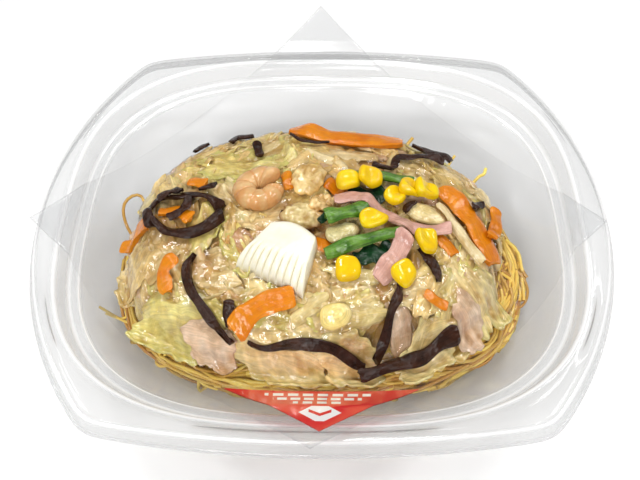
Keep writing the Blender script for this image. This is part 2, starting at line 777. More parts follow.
@dataclass
class Tray:
    """The clear thermoformed tray: flat base, fluted sloping wall, lid ledge, flange, turned-down skirt."""

    sizes: TraySizes = TRAY
    wall: float = 0.7
    sectors: int = 288
    flute_angle: float = 58.6
    flute_gap: float = 3.4
    flute_half_width: float = 1.5
    flute_depth: float = 3.0
    flute_share: float = 0.45
    sharpness: float = 75.0

    def _flange(self, angle: Array, offset: float) -> Array:
        """Radius of the flange's outline: four bowed sides with small soft corners."""
        s = self.sizes
        side_sag, end_sag = s.half_width - s.corner_x, s.half_depth - s.corner_y
        side = (s.corner_y**2 + side_sag**2) / (2 * side_sag)
        end = (s.corner_x**2 + end_sag**2) / (2 * end_sag)
        total = np.zeros_like(angle)
        centres = [(s.half_width - side, 0, side), (side - s.half_width, 0, side)]
        centres += [(0, s.half_depth - end, end), (0, end - s.half_depth, end)]
        for cx, cy, radius in centres:
            along = cx * np.cos(angle) + cy * np.sin(angle)
            across = cx * np.sin(angle) - cy * np.cos(angle)
            total += (along + np.sqrt(radius**2 - across**2)) ** -self.sharpness
        return total ** (-1 / self.sharpness) + offset

    def _flutes(self, angle: Array) -> Array:
        """How far the narrow flutes push the wall inwards at each angle, in mm."""
        fold = np.degrees(np.abs(np.arctan(np.tan(angle))))
        total = np.zeros_like(angle)
        for side in (-1, 0, 1):
            centre = self.flute_angle + side * self.flute_gap
            total += unit(1 - np.abs(fold - centre) / self.flute_half_width)
        return total * self.flute_depth * self.flute_share

    def _levels(self, angle: Array) -> list[tuple[Array, float, float]]:
        """The rings from the middle of the underside round to the middle of the floor.

        Args:
            angle: Angle of each point of a ring.

        Returns:
            For each ring its radii, its height and how much of a bright moulded crease it is.
        """
        s, wall = self.sizes, self.wall
        ledge, top = s.height - 7.5, s.height
        flutes = self._flutes(angle)

        def oval(inset: float) -> Array:
            return oval_radius(angle, s.opening_wide - inset, s.opening_deep - inset, s.squareness)

        def floor(inset: float) -> Array:
            return oval_radius(angle, s.floor_wide - inset, s.floor_deep - inset, 2.5)

        def flange(offset: float) -> Array:
            return self._flange(angle, offset)

        def side(share: float, outset: float) -> Array:
            swell = 1.6 * math.sin(math.pi * share)
            fold = flutes * math.sin(math.pi * min(1, share * 1.06)) ** 0.5
            return floor(-2.5) * (1 - share) + oval(7.2) * share + swell + outset - fold

        rise = [(share, lerp(2.6, ledge - 0.3, share)) for share in np.linspace(0.08, 0.94, 11)]
        return [
            (floor(40), 0.0, 0.0), (floor(14), 0.0, 0.0), (floor(3), 0.0, 0.0), (floor(0), 0.25, 0.2),
            (floor(-2.2), 1.4, 0.2), *((side(share, wall), z - wall * 0.5, 0.0) for share, z in rise),
            (oval(5.4), ledge - 1.0, 0.1), (oval(3.4), ledge - wall, 0.1), (oval(2.2), ledge + 0.2, 0.1),
            (oval(0.9), top - 2.2, 0.0), (oval(0.2), top - 1.2, 0.0), (oval(-0.9), top - wall, 0.0),
            (flange(-4.5), top - wall, 0.0), (flange(-1.6), top - 0.9, 0.1), (flange(-0.6), top - 2.0, 0.1),
            (flange(0.3), top - 5.4, 0.1), (flange(0.8), top - 6.4, 0.5), (flange(1.9), top - 6.7, 0.5),
            (flange(2.0), top - 6.3, 0.5), (flange(1.3), top - 5.9, 0.3), (flange(0.8), top - 5.0, 0.1),
            (flange(0.1), top - 1.5, 0.1), (flange(-0.35), top - 0.5, 0.9), (flange(-0.9), top - 0.05, 1.0),
            (flange(-1.5), top, 0.3), (flange(-2.4), top, 0.0), (flange(-4.5), top, 0.0),
            (oval(-3.0), top - 0.1, 0.0), (oval(-1.5), top, 0.25), (oval(-0.5), top - 0.1, 1.0),
            (oval(0.2), top - 0.6, 0.8), (oval(0.8), top - 1.6, 0.1), (oval(2.4), ledge + 2.0, 0.1),
            (oval(3.0), ledge + 0.7, 0.7), (oval(3.8), ledge + 0.15, 0.9), (oval(4.8), ledge, 0.2),
            (oval(6.2), ledge - 0.1, 0.3), (oval(6.9), ledge - 0.5, 1.0), (oval(7.5), ledge - 1.2, 0.3),
            *((side(share, 0), z, 0.0) for share, z in reversed(rise)), (floor(-1.4), 1.7, 0.25),
            (floor(0.6), 0.95, 0.3), (floor(3), 0.7, 0.1), (floor(14), 0.7, 0.0), (floor(40), 0.7, 0.0),
        ]

    def build(self, finish: Material) -> None:
        """Extrudes the tray ring by ring from a circle.

        Args:
            finish: The clear plastic.
        """
        count = self.sectors
        Bench.clear()
        bpy.ops.mesh.primitive_circle_add(vertices=count, radius=1, fill_type="NOTHING")
        piece = Bench.named("tray_shell")
        x, y, _ = Bench.points(piece)
        angle = np.arctan2(y, x)
        levels = self._levels(angle)
        bpy.ops.object.mode_set(mode="EDIT")
        bpy.ops.mesh.select_all(action="SELECT")
        for _ in levels[1:]:
            bpy.ops.mesh.extrude_edges_move()
        bpy.ops.object.mode_set(mode="OBJECT")
        radii, heights, creases = zip(*levels)
        Bench.place(
            piece, np.concatenate([radius * np.cos(angle) for radius in radii]),
            np.concatenate([radius * np.sin(angle) for radius in radii]), np.repeat(heights, count),
        )
        crease = piece.data.attributes.new("crease", "FLOAT", "POINT")
        crease.data.foreach_set("value", np.repeat(creases, count))
        Bench.pick(piece)
        bpy.ops.object.mode_set(mode="EDIT")
        bpy.ops.mesh.select_mode(type="EDGE")
        bpy.ops.mesh.select_all(action="DESELECT")
        bpy.ops.mesh.select_non_manifold()
        bpy.ops.mesh.edge_face_add()
        bpy.ops.mesh.select_mode(type="VERT")
        bpy.ops.object.mode_set(mode="OBJECT")
        Bench.mend(piece)
        Bench.hand_over(piece, "clear_tray", finish, "tray")


# ---------------------------------------------------------------- film


@dataclass
class Film:
    """The clear square film that lies cornerwise between the nest and the heap, one corner printed."""

    half_diagonal: float = 113.5
    centre_x: float = -1.5
    centre_offset: float = 7
    thickness: float = 0.25
    cells: int = 110
    steps: int = 120

    def _lie(self, u: Array, v: Array) -> Array:
        """Walks each point of the flat film out from the nest's centre over the film's surface.

        Args:
            u: Sheet places along X, in mm from the nest's centre.
            v: Sheet places along Y, in mm from the nest's centre.

        Returns:
            One row of x, y and z in mm for each point.
        """
        length = np.maximum(np.hypot(u, v), 1e-6)
        dx, dy = u / length, v / length
        x, y = np.zeros_like(u), np.full_like(v, NEST.centre_y)
        z = film_height(x, y)
        step = length / self.steps
        for _ in range(self.steps):
            ahead = step * 0.5
            rise = film_height(x + dx * ahead, y + dy * ahead) - z
            level = step / np.hypot(1, rise / ahead)
            x, y = x + dx * level, y + dy * level
            z = film_height(x, y)
        return np.column_stack([x, y, z])

    def build(self, finish: Material) -> None:
        """Lays the film and gives it its print map.

        Args:
            finish: The printed film's material.
        """
        piece = Bench.grid("pull_film", self.cells, self.cells)
        a, b, _ = Bench.points(piece)
        reach = self.half_diagonal / 2
        u = self.centre_x + (a + b) * reach
        v = self.centre_offset + (b - a) * reach
        places = self._lie(u, v)
        creases = 0.35 * ripples(u, v, 37, 1.0) * unit((np.hypot(u, v) - 62) / 25)
        curl = 0.0009 * np.clip(np.abs(u) - 78, 0, 40) ** 2
        places[:, 2] += 0.15 + np.maximum(creases, -0.1) * 0.8 + curl
        Bench.place(piece, places)
        layer = piece.data.uv_layers.active
        layer.name = "print"
        corners = np.zeros(len(piece.data.loops), int)
        piece.data.loops.foreach_get("vertex_index", corners)
        map_uv = np.column_stack([u, v])[corners] / 100
        layer.data.foreach_set("uv", map_uv.ravel())
        Bench.thicken(piece, self.thickness)
        Bench.hand_over(piece, "clear_film", finish, "film_sheet")


@dataclass(frozen=True)
class PrintedFilm:
    """Where the film's printed corner lies on its map, in tenths of a metre, and its colours.

    Each row of bars has its middle, its half width, the pitch of its bars and the bars' share of the pitch.
    """

    tip: float = -0.955
    top: float = -0.615
    centre: float = 0.012
    rows: tuple[tuple[float, float, float, float], ...] = (
        (-0.655, 0.185, 0.052, 0.7), (-0.70, 0.155, 0.047, 0.72), (-0.745, 0.085, 0.05, 0.66),
    )
    red: Colour = (0.72, 0.030, 0.032)
    white: Colour = (0.93, 0.93, 0.93)
    clear: Colour = (0.50, 0.51, 0.52)
    haze: float = 0.02
    edge_haze: float = 0.07
    dry_haze: float = 0.17


class FilmInk:
    """Draws the printed corner as masks from the film's own map."""

    def __init__(self, design: PrintedFilm) -> None:
        """Starts the material.

        Args:
            design: Places and colours of the print.
        """
        self.design = design
        self.made, self.tree, self.shader = new_material("clear_film_printed")
        sheet = node(self.tree, "ShaderNodeUVMap", uv_map="print").outputs["UV"]
        split = node(self.tree, "ShaderNodeSeparateXYZ", _0=sheet)
        self.u, self.v = split.outputs["X"], split.outputs["Y"]

    def _math(self, operation: str, *terms: Socket | float) -> Socket:
        """One two-sided operation run over outputs or numbers, or a one-sided one on a single output."""
        total = terms[0] if terms[1:] else maths(self.tree, operation, *terms)
        for term in terms[1:]:
            total = maths(self.tree, operation, total, term)
        return total

    def _band(self, value: Socket, low: float, high: float) -> Socket:
        """1 where a value lies between two limits."""
        above = self._math("GREATER_THAN", value, low)
        return self._math("MULTIPLY", above, self._math("LESS_THAN", value, high))

    def _bars(self, row: float, half_width: float, pitch: float, share: float) -> Socket:
        """A row of short bars across the corner."""
        line = self._band(self.v, row - 0.0135, row + 0.0135)
        width = self._math("LESS_THAN", self._math("ABSOLUTE", self.u), half_width)
        cell = self._math("FRACT", self._math("DIVIDE", self.u, pitch))
        return self._math("MULTIPLY", line, width, self._math("LESS_THAN", cell, share))

    def _emblem(self, side: Socket) -> Socket:
        """A plain lozenge cut off above and below, with a gap in the shape of a chevron."""
        spread = self._math("ADD", side, self._math("ABSOLUTE", self._math("ADD", self.v, 0.83)))
        inside = self._math("LESS_THAN", spread, 0.075)
        lozenge = self._math("MULTIPLY", inside, self._band(self.v, -0.89, -0.785))
        height = self._math("SUBTRACT", self._math("MULTIPLY", side, 0.7), self._math("ADD", self.v, 0.85))
        gap = self._math("MULTIPLY", self._band(height, -0.014, 0.006), self._math("LESS_THAN", side, 0.04))
        return self._math("SUBTRACT", lozenge, gap)

    def material(self) -> Material:
        """Builds the node material.

        Returns:
            The material, ready to assign.
        """
        d, tree = self.design, self.tree
        side = self._math("ABSOLUTE", self._math("SUBTRACT", self.u, d.centre))
        corner = self._math("LESS_THAN", side, self._math("SUBTRACT", self.v, d.tip))
        printed = self._math("MULTIPLY", corner, self._math("LESS_THAN", self.v, d.top))
        marks = self._math("MAXIMUM", *(self._bars(*row) for row in d.rows), self._emblem(side))
        ink = mixed(tree, Factor=marks, A=d.red, B=d.white)
        facing = node(tree, "ShaderNodeLayerWeight", Blend=0.4).outputs["Facing"]
        haze = ranged(tree, facing, To_Min=d.haze, To_Max=d.edge_haze)
        squares = (self._math("POWER", place, 2.0) for place in (self.u, self.v))
        away = self._math("SQRT", self._math("ADD", *squares))
        limits = {"From_Min": 0.90, "From_Max": 1.04, "To_Max": d.dry_haze}
        dry = ranged(tree, away, interpolation_type="SMOOTHSTEP", **limits)
        colour = mixed(tree, Factor=printed, A=d.clear, B=ink)
        alpha = self._math("MAXIMUM", self._math("ADD", haze, dry), printed)
        feed(tree, self.shader, Roughness=0.12, IOR=2.4, Base_Color=colour, Alpha=alpha)
        return self.made


# ---------------------------------------------------------------- noodle nest


class Strand(Enum):
    """Ways in which a fried noodle lies."""

    ROUND = "round"
    CURLED = "curled"


@dataclass
class NoodleNest:
    """The nest of thin fried noodles: a dark core under hundreds of separate strands that lie in locks.

    Some strays at its edge have places of their own.
    """

    strand: float = 0.66
    seed: int = 11
    core_inset: float = 9
    core_middle: float = 11.5
    core_half_height: float = 9.6
    edge_inset: float = 1.5
    pale: Colour = (1.02, 1.10, 1.05)
    dark: Colour = (0.50, 0.32, 0.16)
    layers: tuple[tuple[Strand, int], ...] = (
        (Strand.ROUND, 48), (Strand.ROUND, 48), (Strand.CURLED, 62), (Strand.ROUND, 48),
    )
    strays: tuple[tuple[Place, ...], ...] = (
        ((-71, 2, 14), (-78, 10, 15), (-80, 17, 19), (-77, 21, 23), (-73, 21, 24), (-70, 15, 22)),
        ((-86, -22, 8), (-79, -28, 11), (-74, -32, 14), (-66, -36, 15)),
        ((-83, -25, 8), (-76, -30, 11), (-73, -30, 15), (-71, -24, 20), (-67, -18, 22)),
        ((37, 48, 30), (34, 44, 29), (31, 40, 28), (28, 34, 26)),
        ((36, 43, 29), (33, 41, 28), (29, 37, 27)),
        ((54, 40, 28), (52, 37, 27), (49, 31, 26)),
        ((66, 33, 28), (65, 30, 28), (63, 29, 27), (59, 25, 26)),
        ((72, 2, 21), (76, -4, 21), (77, -10, 20), (79, -13, 17)),
        ((72, -9, 20), (77, -13, 18), (79, -18, 15), (77, -23, 13), (71, -26, 13)),
        ((-52, -48, 12), (-58, -49, 10), (-61, -46, 8), (-58, -42, 9)),
    )

    def _core(self, finish: Material) -> None:
        """The inside of the nest, a little smaller than the nest itself."""
        piece = Bench.ball("noodle_core", 96, 40)
        a, b, c = Bench.points(piece)
        angle = np.arctan2(b, a)
        wide, deep = NEST.wide - self.core_inset, NEST.deep - self.core_inset
        radius = oval_radius(angle, wide, deep, NEST.squareness) * np.hypot(a, b) ** 0.5
        x, y = radius * np.cos(angle), radius * np.sin(angle) + NEST.centre_y
        z = self.core_middle + self.core_half_height * np.sign(c) * np.abs(c) ** 0.5
        z = z + 0.5 * ripples(x, y, 9, 2)
        Bench.place(piece, x, y, z)
        Bench.tint(piece, (0.20, 0.10, 0.05))
        Bench.hand_over(piece, "fried_noodle", finish, "noodle_nest")

    def _lock(self, rng: random.Random, kind: Strand) -> list[Array]:
        """A few strands that run side by side.

        Args:
            rng: Source of unevenness.
            kind: How they lie.

        Returns:
            For each strand its rows of x, y and z in mm.
        """
        start, way = rng.uniform(0, TAU), rng.choice((-1, 1))
        length = rng.uniform(55, 130) if kind is Strand.ROUND else rng.uniform(35, 80)
        t = np.linspace(0, 1, max(8, int(length / 2.3)))
        out, lift = 1.0 - 0.17 * rng.random() ** 1.6, rng.uniform(2.0, 23.5)
        climb, swing = rng.uniform(-9, 9), rng.uniform(1.0, 4.5)
        speed, phase = rng.uniform(4, 14), rng.uniform(0, 6)
        curl, whirl = rng.uniform(2.0, 5.0), rng.uniform(8, 15)
        lines = []
        for _ in range(rng.randint(2, 6)):
            a, b = rng.uniform(-1, 1), rng.uniform(-1, 1)
            turn = start + 0.09 * a + way * t * length / 66
            wobble = 0.035 * np.sin(t * speed + phase + 0.9 * b) + 0.016 * np.sin(t * 19 + 3 * a)
            wide, deep = NEST.wide - self.edge_inset, NEST.deep - self.edge_inset
            edge = oval_radius(turn, wide, deep, NEST.squareness)
            radius = edge * (out + 0.03 * b + wobble)
            x, y = radius * np.cos(turn), radius * np.sin(turn) + NEST.centre_y
            z = lift + 2.2 * a + climb * t + swing * np.sin(t * speed + phase + 0.9 * a)
            z = z + 0.9 * np.sin(t * 21 + 4 * b)
            if kind is Strand.CURLED:
                x = x + curl * np.sin(whirl * t + phase + 0.3 * a)
                y = y + curl * np.cos(whirl * 0.9 * t + phase + 0.3 * b)
                z = z + 2.2 * np.sin(whirl * 0.7 * t + a)
            lines.append(self._held_in(np.column_stack([x, y, z]), 0.035 * a + 0.02 * b))
        return lines

    @staticmethod
    def _held_in(line: Array, proud: float) -> Array:
        """Keeps a strand above the tray's floor, under the film and near the nest's rounded outline."""
        x, y, z = line.T
        out = oval_field(x, y - NEST.centre_y, NEST.wide - 1.0, NEST.deep - 1.0, NEST.squareness)
        bulge = 1.01 - 0.15 * np.clip(np.abs(z - 11) / 13, 0, 1.2) ** 2.4
        limit = np.minimum(out, bulge + proud) / np.maximum(out, 1e-6)
        x, y = x * limit, (y - NEST.centre_y) * limit + NEST.centre_y
        ceiling = film_height(x, y) - 1.2 - 1.5 * unit(out * limit) ** 8
        return np.column_stack([x, y, np.clip(z, 1.8, ceiling)])

    def _strands(self, name: str, lines: list[Array], seed: int, finish: Material) -> None:
        """Draws strands as bevelled curves and makes them one mesh.

        Args:
            name: The piece's name.
            lines: Rows of x, y and z in mm for each strand.
            seed: Seed of their widths and browning.
            finish: The noodle finish.
        """
        rng = random.Random(seed)
        curve = bpy.data.curves.new(name, "CURVE")
        curve.dimensions = "3D"
        curve.bevel_depth = self.strand * MM
        curve.bevel_resolution = 1
        curve.use_fill_caps = True
        tones = []
        for line in lines:
            spline = curve.splines.new("POLY")
            spline.points.add(len(line) - 1)
            spline.points.foreach_set("co", np.column_stack([line * MM, np.ones(len(line))]).ravel())
            spline.points.foreach_set("radius", np.full(len(line), rng.uniform(0.85, 1.15)))
            brown = rng.random() ** 1.7
            tones.append((len(line), tuple(lerp(a, b, brown) for a, b in zip(self.pale, self.dark))))
        piece = bpy.data.objects.new(name, curve)
        bpy.context.scene.collection.objects.link(piece)
        Bench.pick(piece)
        bpy.ops.object.convert(target="MESH")
        piece = bpy.context.object
        around = len(piece.data.vertices) // sum(count for count, _ in tones)
        rows = np.concatenate([np.tile(tone, (count * around, 1)) for count, tone in tones])
        full = np.ones((len(piece.data.vertices), 3))
        full[: len(rows)] = rows[: len(full)]
        Bench.tint(piece, full)
        Bench.hand_over(piece, "fried_noodle", finish, "noodle_nest")

    def build(self, finish: Material) -> None:
        """Builds the core and the strands.

        Args:
            finish: The noodle finish.
        """
        self._core(finish)
        share = 1.0
        for index, (kind, locks) in enumerate(self.layers):
            rng = random.Random(self.seed + index)
            lines = [line for _ in range(int(locks * share)) for line in self._lock(rng, kind)]
            self._strands(f"noodles_{kind.value}_{index + 1}", lines, index, finish)
        strays = []
        for knots in self.strays:
            flat, _ = smooth_line([(x, y) for x, y, _ in knots], 16)
            lifts, _ = smooth_line([(i * 10.0, z) for i, (_, _, z) in enumerate(knots)], 16)
            strays.append(np.column_stack([flat, lifts[:, 1]]))
        self._strands("noodles_stray", strays, 9, finish)


# ---------------------------------------------------------------- vegetable heap


@dataclass
class Leaf:
    """One limp leaf, slice or scrap: where it lies and how it is shaped, in mm and degrees."""

    x: float
    y: float
    heading: float
    length: float
    width: float
    thickness: float = 0.8
    relief: float = 0.45
    rib: float = 1.0
    arch: float = 0.8
    frill: float = 1.0
    crumple: float = 1.3
    vein_gap: float = 4.2
    tilt: tuple[float, float] = (0.0, 0.0)
    sag: float = 2.6
    seed: float = 0.0
    cells: tuple[int, int] = (30, 20)
    extra: bool = False


class LeafMaker:
    """Shapes a limp veined leaf from a flat grid and lets it lie over what is there."""

    stains: ClassVar[tuple[tuple[float, float, float, float], ...]] = (
        (-11, -8, 4.5, 1.0), (-8, -18, 5.0, 0.9), (-1, -20, 5.0, 1.0), (4, -25, 4.0, 0.9),
        (-21, -21, 4.0, 0.6), (-50, -12, 11.0, 0.75), (-42, -30, 6.0, 0.6), (27, -31, 5.0, 0.5), (-27, -48, 5.0, 0.7),
        (41, -9, 6.0, 0.4), (62, -12, 6.0, 0.4), (20, 14, 5.0, 0.4), (48, -48, 5.0, 0.5), (12, -60, 5.0, 0.4),
        (-50, 4, 5.0, 0.4),
    )

    @classmethod
    def stain(cls, x: Array, y: Array) -> Array:
        """How brown the sauce is at each place: most in the hollows between the toppings."""
        total = 0
        for cx, cy, reach, depth in cls.stains:
            total = total + depth * np.exp(-((x - cx) ** 2 + (y - cy) ** 2) / reach**2)
        return unit(total * (0.8 + 0.7 * ripples(x, y, 5, 2)))

    @staticmethod
    def make(name: str, leaf: Leaf, tint: Colour, green: float) -> Piece:
        """Makes one leaf.

        Args:
            name: The piece's name.
            leaf: Its sizes.
            tint: Its colour, which multiplies the finish.
            green: How much greener its outer edge is.

        Returns:
            The leaf, not yet dressed.
        """
        piece = Bench.grid(name, *leaf.cells)
        s, t, _ = Bench.points(piece)
        edge = np.maximum(np.abs(s), np.abs(t))
        turn = np.arctan2(t, s)
        outline = 1 + 0.16 * np.sin(2 * turn + leaf.seed) + 0.10 * np.sin(5 * turn + 2 * leaf.seed)
        outline = outline + 0.06 * np.sin(13 * turn + 3 * leaf.seed) * edge**4
        x = s * np.sqrt(1 - 0.40 * t * t) * leaf.length / 2 * outline
        y = t * np.sqrt(1 - 0.45 * s * s) * leaf.width / 2 * outline
        spine = leaf.width * 0.12 * math.sin(leaf.seed) * (1 - s * s)
        across = np.abs(y - spine)
        midrib = np.exp(-((across / (0.8 + 0.9 * (1 - s))) ** 2))
        ribs = np.cos(TAU * (x - 0.9 * across) / leaf.vein_gap + leaf.seed)
        lateral = (0.5 + 0.5 * ribs) ** 3 * (1 - midrib)
        crinkle = ripples(x, y, 3.6, leaf.seed) + 0.6 * ripples(x, y, 2.1, 2 * leaf.seed)
        ruffle = edge**3 * (0.4 + 1.3 * ripples(x, y, 7, 3 * leaf.seed))
        folds = 0.5 - 2.2 * np.abs(ripples(0.6 * x, 1.3 * y, 8, leaf.seed + 1))
        folds = folds + 0.8 * ripples(x, y, 11, leaf.seed)
        px, py = turned(x, y, (leaf.x, leaf.y), leaf.heading)
        z = LAYERS.rest(px, py, leaf.sag) + leaf.thickness
        z = z + leaf.relief * (lateral + 0.4 * crinkle) + leaf.rib * midrib * (0.75 - 0.45 * s)
        z = z + leaf.crumple * folds
        z = z + leaf.arch * (1 - t * t) + leaf.frill * ruffle + leaf.tilt[0] * s + leaf.tilt[1] * t
        over = z - heap_height(px, py) - 0.8
        z = np.where(over > 0, z - 0.5 * over, z)
        Bench.place(piece, px, py, z)
        vein = unit(midrib + 0.6 * lateral)
        rows = np.outer(0.88 + 0.24 * vein + 0.11 * crinkle, tint)
        hollow = unit(0.1 - 0.55 * folds)
        rows = rows * (1 - np.outer(hollow * (1 - 0.6 * vein), (0.24, 0.42, 0.66)))
        rows = rows * (1 - np.outer(LeafMaker.stain(px, py), (0.55, 0.77, 0.87)))
        rows = rows * (1 - np.outer(green * unit(edge - 0.35) * (1 - vein), (0.32, 0.06, 0.55)))
        Bench.tint(piece, rows)
        Bench.thicken(piece, leaf.thickness)
        return piece


CABBAGE_TINTS = (
    (1.12, 1.10, 1.02), (1.06, 0.96, 0.72), (0.90, 0.72, 0.46), (1.12, 1.12, 1.16), (1.0, 1.07, 0.60),
)
ONION_TINTS = ((1.10, 1.10, 1.15), (1.02, 0.90, 0.68), (0.94, 0.98, 0.72))
MEAT_TINTS = ((1.08, 1.04, 1.0), (0.84, 0.70, 0.58), (1.0, 0.90, 0.80))


@dataclass
class VegetableHeap:
    """Cabbage, onion and pork in thick glossy sauce, laid piece upon piece over a sauce core."""

    seed: int = 5
    drop: float = 12.0
    sunken: float = 0.55
    skirt: int = 66
    leaves: int = 86
    onions: int = 52
    scraps: int = 24

    def _core_height(self, x: Array, y: Array) -> Array:
        """Height in mm of the sauce core, which lies below the heap's outer form."""
        lumps = 1.2 * ripples(x, y, 17, 3.3) + 0.6 * ripples(x, y, 8, 1.2)
        plain = heap_height(x, y) - self.drop + lumps * unit(2.2 - 2 * heap_out(x, y))
        return np.maximum(plain, film_height(x, y) + 0.9)

    @staticmethod
    def _sauce(
        name: str, inset: float, height: Callable[[Array, Array], Array], finish: Material, around: int = 200,
        rings: int = 110,
    ) -> Piece:
        """A closed oval dome of sauce over the film.

        Args:
            name: The piece's name.
            inset: How far inside the heap's outline it ends, in mm.
            height: Gives the height of its top in mm.
            finish: The sauce.
            around: How many faces it has round its outline.
            rings: How many rings of faces it has.

        Returns:
            The finished dome.
        """
        piece = Bench.ball(name, around, rings)
        a, b, c = Bench.points(piece)
        angle = np.arctan2(b, a)
        edge = oval_radius(angle, HEAP.wide - inset, HEAP.deep - inset, HEAP.squareness)
        edge = edge * (1 + 0.025 * np.sin(5 * angle + 2) + 0.02 * np.sin(11 * angle))
        radius = edge * np.arcsin(unit(np.hypot(a, b))) / (math.pi / 2)
        x, y = HEAP.centre_x + radius * np.cos(angle), NEST.centre_y + radius * np.sin(angle)
        bottom = film_height(x, y) + 0.6
        z = np.where(c > 0.001, np.maximum(height(x, y), bottom + 0.6), bottom)
        Bench.place(piece, x, y, z)
        Bench.hand_over(piece, "sauced_vegetable", finish, "vegetable_heap")
        return piece

    @staticmethod
    def _scatter(rng: random.Random, count: int, tries: int = 8) -> list[Point]:
        """Spreads places over the heap's oval so that none crowds its neighbours."""
        found: list[Point] = []
        for _ in range(count):
            best, gap = (0.0, 0.0), -1.0
            for _ in range(tries):
                x, y = heap_place(rng.uniform(0, TAU), rng.random() ** 0.5)
                near = min((math.hypot(x - a, y - b) for a, b in found), default=99)
                if near > gap:
                    best, gap = (x, y), near
            found.append(best)
        return found

    @staticmethod
    def _rim(rng: random.Random, count: int) -> list[Point]:
        """Places along the heap's edge, from its right round its back to its left."""
        found = []
        for index in range(count):
            turn = math.radians(lerp(-36, 214, (index + rng.random()) / count))
            if index % 2:
                out = rng.uniform(0.80, 0.90) - 0.05 * abs(math.cos(turn))
            else:
                out = rng.uniform(0.90, 0.99)
            found.append(heap_place(turn, out))
        return found

    @staticmethod
    def _tangent(place: Point) -> float:
        """The heading along the heap's outline, near a place."""
        return math.degrees(math.atan2(place[1] - NEST.centre_y, place[0])) + 90

    def _along_edge(self, place: Point, rng: random.Random) -> float:
        """A heading that mostly follows the heap's outline."""
        return self._tangent(place) + rng.gauss(0, 40)

    def _cabbage(self, rng: random.Random, place: Point) -> Leaf:
        """Sizes of one thin leaf."""
        long = rng.uniform(20, 34)
        return Leaf(
            *place, heading=self._along_edge(place, rng), length=long, width=long * rng.uniform(0.5, 0.75),
            thickness=rng.uniform(0.6, 0.9), relief=rng.uniform(0.35, 0.7), rib=rng.uniform(0.3, 1.3),
            arch=rng.uniform(-1.2, 2.8), frill=rng.uniform(1.2, 3.6), crumple=rng.uniform(1.6, 3.0),
            vein_gap=rng.uniform(3.2, 5.5), tilt=(rng.uniform(-1.9, 1.9), rng.uniform(-2.0, 2.0)),
            seed=rng.uniform(0, 40),
        )

    def _stalk(self, rng: random.Random, place: Point) -> Leaf:
        """Sizes of one thick pale stalk or onion slice."""
        return Leaf(
            *place, heading=self._along_edge(place, rng), length=rng.uniform(14, 25), width=rng.uniform(4, 8),
            thickness=rng.uniform(1.4, 2.4), relief=0.12, rib=0.3, arch=rng.uniform(1.0, 2.6), frill=0.4,
            crumple=0.3, vein_gap=9, tilt=(rng.uniform(-1.4, 1.4), 0.0), seed=rng.uniform(0, 40),
            cells=(24, 10),
        )

    @staticmethod
    def _scrap(rng: random.Random, place: Point) -> Leaf:
        """Sizes of one scrap of pork."""
        return Leaf(
            *place, heading=rng.uniform(0, 360), length=rng.uniform(10, 17), width=rng.uniform(6, 11),
            thickness=rng.uniform(1.2, 1.8), relief=0.3, rib=0.0, arch=rng.uniform(0, 1.2), frill=1.1,
            vein_gap=3, tilt=(rng.uniform(-0.6, 0.6), rng.uniform(-0.6, 0.6)), seed=rng.uniform(0, 40),
            cells=(18, 12),
        )

    def build(self, materials: dict[str, Material]) -> None:
        """Builds the core, what is mixed into it and the sauce between.

        Args:
            materials: Material by slot name.
        """
        LAYERS.lay(self._sauce("sauce_core", 3.5, self._core_height, materials["sauced_vegetable"]))
        rng = random.Random(self.seed)
        share = 1.0
        kinds = [("cabbage", 0.78, self._cabbage, CABBAGE_TINTS)] * self.leaves
        kinds += [("onion", 0.84, self._stalk, ONION_TINTS)] * self.onions
        kinds += [("meat", 0.84, self._scrap, MEAT_TINTS)] * self.scraps
        rng.shuffle(kinds)
        kinds = kinds[: int(len(kinds) * share)]
        deep = int(len(kinds) * self.sunken)
        places = self._scatter(rng, deep) + self._scatter(rng, len(kinds) - deep)
        main = len(kinds)
        kinds += [(kind, 1.0, sizes, tints) for kind, _, sizes, tints in kinds[: int(self.skirt * share)]]
        places += self._rim(rng, len(kinds) - main)
        made: dict[tuple[str, bool], list[Piece]] = {}
        for index, ((kind, reach, sizes, tints), (x, y)) in enumerate(zip(kinds, places)):
            if index == deep:
                self._pour(materials["sauced_vegetable"])
            x, y = HEAP.centre_x + (x - HEAP.centre_x) * reach, NEST.centre_y + (y - NEST.centre_y) * reach
            low, high = rng.sample(tints, 2)
            mix = rng.random()
            stain = (0.80, 0.66, 0.50) if index < deep else PLAIN
            tint = tuple(lerp(a, b, mix) * dark for a, b, dark in zip(low, high, stain))
            green = rng.uniform(0, 0.8) if kind == "cabbage" else 0.0
            shape = sizes(rng, (x, y))
            if index >= main:
                small = 0.9 if (index - main) % 2 else 0.7
                shape.length, shape.width, shape.sag = shape.length * small, shape.width * 0.7, 1.6
                shape.heading = lerp(self._tangent((x, y)), shape.heading, 0.35)
            leaf = LeafMaker.make(f"{kind}_{index}", shape, tint, green)
            LAYERS.lay(leaf)
            made.setdefault((kind, index < deep), []).append(leaf)
        for (kind, under), pieces in made.items():
            slot = "pork" if kind == "meat" else "cabbage"
            joined = Bench.join(pieces, f"{kind}_{'under' if under else 'upper'}")
            Bench.hand_over(joined, slot, materials[slot], "vegetable_heap")

    def _pour(self, finish: Material) -> None:
        """Fills the hollows between the sunken pieces with sauce.

        Args:
            finish: The sauce.
        """

        def pooled(x: Array, y: Array) -> Array:
            edge = unit(heap_out(x, y) - 0.8)
            return LAYERS.rest(x, y, 4.0, 0.0) - 1.3 - 6 * edge + 0.25 * ripples(x, y, 6, 4)

        LAYERS.lay(self._sauce("sauce_pools", 6, pooled, finish))

    def glaze(self, finish: Material) -> None:
        """Covers all that is laid so far with a thin clear film of sauce.

        Args:
            finish: The clear sauce.
        """

